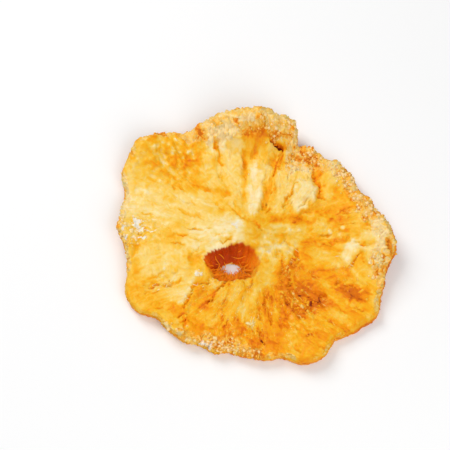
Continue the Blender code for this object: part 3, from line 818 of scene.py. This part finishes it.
def ramp(tree, value, stops):
    """A colour ramp with these (position, colour) stops."""
    made = node(tree, "ShaderNodeValToRGB", {}, {"Fac": value})
    elements = made.socket.node.color_ramp.elements
    while len(elements) < len(stops):
        elements.new(0.5)
    for element, (position, colour) in zip(elements, stops):
        element.position = position
        element.color = (*colour, 1)
    return made


def attribute(tree, name, output="Fac"):
    return node(tree, "ShaderNodeAttribute", {"attribute_name": name}, {}, output)


def new_material(name):
    material = bpy.data.materials.new(name)
    material.use_nodes = True
    return material, material.node_tree, material.node_tree.nodes["Principled BSDF"]


def feed(tree, shader, **inputs):
    """Links or sets the shader's sockets, named with underscores for spaces."""
    for name, value in inputs.items():
        socket = shader.inputs[name.replace("_", " ")]
        if isinstance(value, Term):
            tree.links.new(value.socket, socket)
        else:
            socket.default_value = value


def flesh_material(name, shift, glow):
    """The finish of the flesh and of what lies on it. A shift makes it paler than the flesh beneath.

    The glow is how much light goes through it. Small pieces have none, or the red would leave them and turn them grey.
    """
    material, tree, shader = new_material(name)
    where = node(tree, "ShaderNodeTexCoord", {}, {}, "Object")
    crest = attribute(tree, "crest")
    crust = attribute(tree, "crust")
    threads = noise(tree, attribute(tree, "grain", "Vector"), 2.2, 3.0, 0.6, 0.3)
    specks = noise(tree, where, 1 / (0.8 * MM), 2.0, 0.6)
    patches = noise(tree, where, 1 / (2.6 * MM), 2.0, 0.55, 0.8)
    # Paler on crests and darker in grooves: partly the drier crests, partly painted shade. The noise terms vary the
    # tone at random.
    uneven = (crest - 0.5) * 0.75 + (threads - 0.5) * 0.25 * (1 - crust) + (patches - 0.5) * 0.8 + (specks - 0.5) * 0.08
    tone = attribute(tree, "tone")
    tone = tone + uneven * (1.0 - 0.45 * tone) + attribute(tree, "shade") + (1.4 - 1.1 * tone) * shift
    colour = ramp(tree, tone, FLESH_RAMP)
    # The crust is painted darker in its grooves and where crumbs lie on it: painted shade.
    groove_shade = 1 - crest.smooth(0.05, 0.5)
    crust_tone = 0.80 + shift * 2.2 - attribute(tree, "crumbled") * 0.34 - groove_shade * 0.64 + (patches - 0.5) * 1.1 + (specks - 0.5) * 1.0 + (attribute(tree, "tone") - 0.66) * 1.3
    crust_tone = crust_tone + attribute(tree, "shade") * 1.5
    colour = blend(tree, (crust + (specks - 0.5) * 0.5).smooth(0.25, 0.75), colour, ramp(tree, crust_tone, CRUST_RAMP))
    # Sugar white is mixed in where the sugar map is and on the crests: partly dried sugar, partly painted highlight.
    sugar_and_glint = (attribute(tree, "sugar") + (specks - 0.5) * 1.1 + (crest - 0.5) * 0.5).smooth(0.35, 0.7)
    colour = blend(tree, sugar_and_glint, colour, SUGAR_AND_GLINT_WHITE)
    # The wall of the hole and the fringe in it take the red-orange wall ramp. On the wall, the tone fed to it carries
    # painted light and shade.
    wall_tone_and_painted_light = attribute(tree, "wall_tone_and_painted_light") + (threads - 0.5) * 0.9 + (crest - 0.5) * 0.6
    colour = blend(tree, attribute(tree, "wall"), colour, ramp(tree, wall_tone_and_painted_light, DEEP_RAMP))
    rough = (0.42 + crust * 0.28 - sugar_and_glint * 0.1 + (specks - 0.5) * 0.4).clamp()
    gloss = (crest + (patches - 0.5) * 0.8 - crust * 0.6).smooth(0.55, 0.9) * 0.8
    height = threads * 0.5 + specks * 0.5
    bump = node(tree, "ShaderNodeBump", {}, {"Strength": 0.7, "Distance": 0.4 * MM, "Height": height})
    feed(tree, shader, Base_Color=colour, Roughness=rough, Normal=bump, Coat_Weight=gloss)
    feed(tree, shader, Subsurface_Weight=glow, Subsurface_Radius=(1.0, 0.7, 0.5), Subsurface_Scale=0.7 * MM)
    feed(tree, shader, Coat_Roughness=0.16, Specular_IOR_Level=0.12)
    return material


flesh = flesh_material("dried_flesh", 0.0, 0.5)
ring = finish_tree(blank, relief_tree(flesh), "ring_flesh")
bpy.data.objects.remove(blank)
print("ring:", sum(len(p.vertices) - 2 for p in ring.data.polygons), "triangles")

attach(ring, "root")
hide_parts(RING)

# %% [markdown]
# ## Crumbs on the crust
#
# The dry rim crumbles, and the crumbs stay stuck to it and to the core. Hundreds of them could be modelled by hand, but
# a Geometry Nodes tree scatters one lumpy grain wherever the crust map says, turned and sized at random. The grain is
# an icosphere of twenty faces pushed about by noise, since so small a thing needs no more.

# %% Scattering
def random_number(tree, low, high, seed):
    return node(tree, "FunctionNodeRandomValue", {"data_type": "FLOAT"}, {2: low, 3: high, "Seed": seed}, 1)


def random_turn(tree, seed):
    limits = {0: (0, 0, 0), 1: (2 * math.pi, 2 * math.pi, 2 * math.pi), "Seed": seed}
    angles = node(tree, "FunctionNodeRandomValue", {"data_type": "FLOAT_VECTOR"}, limits, 0)
    return node(tree, "FunctionNodeEulerToRotation", {}, {"Euler": angles})


def scatter(tree, geometry, how_many, seed):
    """Random points on the surface, each with a little shade of its own. How many is a number per square metre."""
    points = node(tree, "GeometryNodeDistributePointsOnFaces", {}, {"Mesh": geometry, "Density": how_many, "Seed": seed})
    shaded = keep(tree, points, "shade", random_number(tree, -0.14, 0.14, seed + 1))
    return shaded, points.also("Normal")


def put_on(tree, points, thing, rotation, scale):
    inputs = {"Points": points, "Instance": thing, "Rotation": rotation, "Scale": scale}
    return node(tree, "GeometryNodeInstanceOnPoints", {}, inputs)


def crumb_tree(material):
    tree, size = new_tree("crust_crumbs", {
        "Crumbs per area": 3.6 / MM ** 2, "Small radius": 0.16 * MM, "Large radius": 0.55 * MM, "Clump pitch": 2.4 * MM,
    })
    position = node(tree, "GeometryNodeInputPosition", {}, {})
    clumps = noise(tree, position, 1 / size["Clump pitch"], 2.0).smooth(0.42, 0.62)
    amount = (named(tree, "crumbled") * 1.3 - 0.08).clamp() * (0.1 + clumps)
    points, _ = scatter(tree, size["Geometry"], amount * size["Crumbs per area"], 11)
    ball = node(tree, "GeometryNodeMeshIcoSphere", {}, {"Radius": 1.0, "Subdivisions": 1})
    lumpy = noise(tree, node(tree, "GeometryNodeInputPosition", {}, {}), 1.1) * 1.6 - 0.8
    push = node(tree, "ShaderNodeVectorMath", {"operation": "SCALE"}, {
        0: node(tree, "GeometryNodeInputNormal", {}, {}), "Scale": lumpy,
    })
    grain = node(tree, "GeometryNodeSetPosition", {}, {"Geometry": ball, "Offset": push})
    rare = random_number(tree, 0.0, 1.0, 12) ** 2.5
    radius = size["Small radius"] + (size["Large radius"] - size["Small radius"]) * rare
    crumbs = put_on(tree, points, grain, random_turn(tree, 13), radius)
    end_tree(tree, crumbs, material)
    return tree


def grow(tree, name):
    """Runs a tree on the ring and gives back what it scatters as a piece of its own."""
    piece = finish_tree(ring, tree, name)
    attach(piece, "root")
    print(name + ":", sum(len(p.vertices) - 2 for p in piece.data.polygons), "triangles")
    return piece


crumbs = grow(crumb_tree(flesh_material("crumb_flesh", 0.18, 0.0)), "crust_crumbs")

# %% [markdown]
# ## Sugar
#
# Juice that reached the surface left clear crystals of sugar, which look white because they are small and rough. They
# are boxes with their corners left sharp, half sunk into the flesh, and thickest where the sugar map is.

# %% Sugar grains
def sugar_material():
    material, tree, shader = new_material("sugar")
    where = node(tree, "ShaderNodeTexCoord", {}, {}, "Object")
    cloudy = noise(tree, where, 1 / (0.5 * MM), 2.0)
    feed(tree, shader, Base_Color=blend(tree, cloudy, (1.0, 0.88, 0.70, 1), (1.0, 0.96, 0.90, 1)))
    feed(tree, shader, Roughness=(0.15 + cloudy * 0.3).clamp(), Specular_IOR_Level=0.6)
    return material


def sugar_tree(material):
    tree, size = new_tree("sugar_grains", {
        "Grains per area": 5.0 / MM ** 2, "Small grain": 0.12 * MM, "Large grain": 0.40 * MM,
    })
    amount = (named(tree, "sugar") * 1.4 - 0.35).clamp()
    points, _ = scatter(tree, size["Geometry"], amount * size["Grains per area"], 21)
    crystal = node(tree, "GeometryNodeMeshCube", {}, {"Size": (1.0, 0.8, 0.7)})
    wide = random_number(tree, size["Small grain"], size["Large grain"], 22)
    end_tree(tree, put_on(tree, points, crystal, random_turn(tree, 23), wide), material)
    return tree


sugar = finish_tree(ring, sugar_tree(sugar_material()), "sugar_grains")
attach(sugar, "root")
print("sugar_grains:", len(sugar.data.polygons), "faces")

# %% [markdown]
# ## Loose fibres
#
# Dried flesh splits along its fibres and single strands come loose. Each one starts as a short straight curve laid
# along the grain. The tree snaps its points back onto the surface, lets the middle or an end stand off a little, and
# sweeps a small round section along it. Laying curves on a mesh this way keeps them in contact however it buckles.

# %% Strands along the grain
def sweep(tree, curves, thick, sides, material):
    """A tapered strand of this many sides along each curve."""
    along = node(tree, "GeometryNodeSplineParameter", {}, {})
    taper = (along * (1 - along) * 4).clamp() ** 0.4
    section = node(tree, "GeometryNodeCurvePrimitiveCircle", {}, {"Resolution": sides, "Radius": 1.0})
    strands = node(tree, "GeometryNodeCurveToMesh", {}, {
        "Curve": curves, "Profile Curve": section, "Scale": thick * taper + 0.01 * MM, "Fill Caps": True,
    })
    end_tree(tree, strands, material)


def strand_tree(material):
    tree, size = new_tree("flesh_strands", {
        "Strands per area": 0.95 / MM ** 2, "Shortest": 1.8 * MM, "Longest": 5.5 * MM, "Thickness": 0.13 * MM,
        "Waviness": 0.5 * MM, "Stand-off": 0.45 * MM,
    })
    amount = (named(tree, "stranded") * 1.5 - 0.5).clamp() * (1 - named(tree, "wall")) * (1 - named(tree, "crust"))
    points, normal = scatter(tree, size["Geometry"], amount * size["Strands per area"], 31)
    points = keep(tree, points, "lifted", random_number(tree, -0.6, 1.0, 32))
    way = named(tree, "way", "FLOAT_VECTOR")
    rotation = node(tree, "FunctionNodeAlignRotationToVector", {"axis": "X"}, {"Vector": way})
    line = node(tree, "GeometryNodeCurvePrimitiveLine", {}, {"Start": (-0.5, 0, 0), "End": (0.5, 0, 0)})
    line = node(tree, "GeometryNodeResampleCurve", {}, {"Curve": line, "Count": 9})
    long = random_number(tree, size["Shortest"], size["Longest"], 33)
    strands = node(tree, "GeometryNodeRealizeInstances", {}, {"Geometry": put_on(tree, points, line, rotation, long)})
    position = node(tree, "GeometryNodeInputPosition", {}, {})
    drift = node(tree, "ShaderNodeTexNoise", {}, {"Vector": position, "Scale": 1 / (2.5 * MM), "Detail": 1.0}, "Color")
    drift = node(tree, "ShaderNodeVectorMath", {"operation": "SUBTRACT"}, {0: drift, 1: (0.5, 0.5, 0.5)})
    drift = node(tree, "ShaderNodeVectorMath", {"operation": "SCALE"}, {0: drift, "Scale": size["Waviness"] * 2})
    strands = node(tree, "GeometryNodeSetPosition", {}, {"Geometry": strands, "Offset": drift})
    nearest = node(tree, "GeometryNodeProximity", {}, {"Geometry": size["Geometry"]})
    upward = node(tree, "GeometryNodeSampleNearestSurface", {"data_type": "FLOAT_VECTOR"}, {
        "Mesh": size["Geometry"], "Value": node(tree, "GeometryNodeInputNormal", {}, {}),
    })
    along = node(tree, "GeometryNodeSplineParameter", {}, {})
    arch = along * (1 - along) * 4 * 0.35 + (along - 0.75).smooth(0.0, 0.35) * named(tree, "lifted") * 1.6
    off = size["Thickness"] * 0.35 + (arch * size["Stand-off"]).at_least(0.0)
    stand = node(tree, "ShaderNodeVectorMath", {"operation": "SCALE"}, {0: upward, "Scale": off})
    laid = node(tree, "GeometryNodeSetPosition", {}, {"Geometry": strands, "Position": nearest, "Offset": stand})
    sweep(tree, laid, size["Thickness"] * (1 + named(tree, "shade") * 3), 4, material)
    return tree


strands = grow(strand_tree(flesh_material("strand_flesh", 0.18, 0.0)), "flesh_strands")

# %% [markdown]
# ## The fringe in the hole
#
# The corer does not cut clean: torn fibres hang from the wall into the hole, mostly from the lower lip. Their paths are
# worked out here, point by point, and the tree turns each chain of edges into a strand.

# %% Torn fibres on the wall
FRINGE_STRANDS, FRINGE_POINTS = 760, 7


def fringe_paths(seed):
    """Points, edges and shades of fibres that leave the wall of the hole and hang inwards."""
    random = np.random.default_rng(seed)
    points, edges, shades = [], [], []
    for strand in range(FRINGE_STRANDS):
        turn = math.radians(random.normal(270, 42))
        level = random.uniform(-0.98, 0.35)
        root = place(np.array([turn]), np.array([0.012]), np.array([level]))[0]
        inward = np.array([HOLE_MIDDLE[0] - root[0], THROAT_MIDDLE[1] + 1.0 - root[1], 0.0])
        inward /= np.linalg.norm(inward)
        aside = np.array([-inward[1], inward[0], 0.0]) * random.normal(0, 0.55)
        long = 0.8 + 3.5 * random.random() ** 1.3
        droop = random.uniform(-0.1, 0.9)
        wave = random.uniform(0, 2 * math.pi)
        for step in range(FRINGE_POINTS):
            t = step / (FRINGE_POINTS - 1)
            sideways = aside * (t + 0.18 * math.sin(5 * t + wave))
            point = root + (inward * t + sideways) * long + [0, 0, -droop * t * t * long * 0.6]
            points.append([point[0], point[1], max(point[2], 0.25)])
            shades.append(random.uniform(-0.04, 0.04) + 0.72 + 0.16 * t - 0.08 * (strand % 3))
        first = strand * FRINGE_POINTS
        edges += [(first + step, first + step + 1) for step in range(FRINGE_POINTS - 1)]
    return np.array(points), edges, np.array(shades)


def fringe_tree(material):
    tree, size = new_tree("hole_fringe", {"Thickness": 0.12 * MM})
    curves = node(tree, "GeometryNodeMeshToCurve", {}, {"Mesh": size["Geometry"]})
    sweep(tree, curves, size["Thickness"], 5, material)
    return tree


points, edges, shades = fringe_paths(41)
chains = new_mesh("fringe_chains", points, [], edges)
keep_map(chains.data, "wall", "FLOAT", np.ones(len(points)))
keep_map(chains.data, "wall_tone_and_painted_light", "FLOAT", shades)
keep_map(chains.data, "crest", "FLOAT", np.full(len(points), 0.5))
fringe = finish_tree(chains, fringe_tree(flesh_material("fringe_flesh", 0.0, 0.0)), "hole_fringe")
bpy.data.objects.remove(chains)
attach(fringe, "root")
print("hole_fringe:", FRINGE_STRANDS, "fibres,", sum(len(p.vertices) - 2 for p in fringe.data.polygons), "triangles")

# %% [markdown]
# ## Floor, light and camera
#
# Dried fruit looks dull under flat light and burnt under hard light. A large soft lamp from behind and to the left
# rakes over the fibres and shines through the thin edge, a weaker one opens the shadows, and a pale sky does the rest.

# %% The studio
def soft_lamp(name, place, aim, size, watts):
    lamp = bpy.data.lights.new(name, "AREA")
    lamp.shape = "SQUARE"
    lamp.size = size
    lamp.energy = watts
    holder = bpy.data.objects.new(name, lamp)
    bpy.context.scene.collection.objects.link(holder)
    holder.location = place
    holder.rotation_euler = (Vector(aim) - Vector(place)).to_track_quat("-Z", "Y").to_euler()
    return holder


middle = (0, 0, 5 * MM)
soft_lamp("key", (-0.28, 0.32, 0.45), middle, 0.34, 2.05)
soft_lamp("fill", (0.16, -0.34, 0.40), middle, 0.45, 1.6)

world = bpy.data.worlds.new("studio")
bpy.context.scene.world = world
world.use_nodes = True
world.node_tree.nodes["Background"].inputs["Color"].default_value = (1, 1, 1, 1)
world.node_tree.nodes["Background"].inputs["Strength"].default_value = 0.36

floor_mesh = bpy.data.meshes.new("floor")
REACH = 3.0
floor_mesh.from_pydata([(-REACH, -REACH, 0), (REACH, -REACH, 0), (REACH, REACH, 0), (-REACH, REACH, 0)], [], [(0, 1, 2, 3)])
floor = bpy.data.objects.new("floor", floor_mesh)
bpy.context.scene.collection.objects.link(floor)
floor.location.z = -0.02 * MM
paper, paper_tree, paper_shader = new_material("pale_floor")
feed(paper_tree, paper_shader, Base_Color=(0.95, 0.95, 0.95, 1), Roughness=0.9, Specular_IOR_Level=0.1)
floor_mesh.materials.append(paper)

CAMERA_AIM = Vector((-9.0, 2.6, 5.0)) * MM
CAMERA_DISTANCE, CAMERA_ELEVATION = 0.36, math.radians(65)
camera = bpy.data.objects.new("camera", bpy.data.cameras.new("camera"))
bpy.context.scene.collection.objects.link(camera)
camera.data.lens = 100
camera.data.sensor_width = 36
back = Vector((0, -math.cos(CAMERA_ELEVATION), math.sin(CAMERA_ELEVATION)))
camera.location = CAMERA_AIM + back * CAMERA_DISTANCE
camera.rotation_euler = (-back).to_track_quat("-Z", "Y").to_euler()
camera.data.clip_start = 0.01
bpy.context.scene.camera = camera
bpy.context.scene.view_settings.view_transform = "Standard"
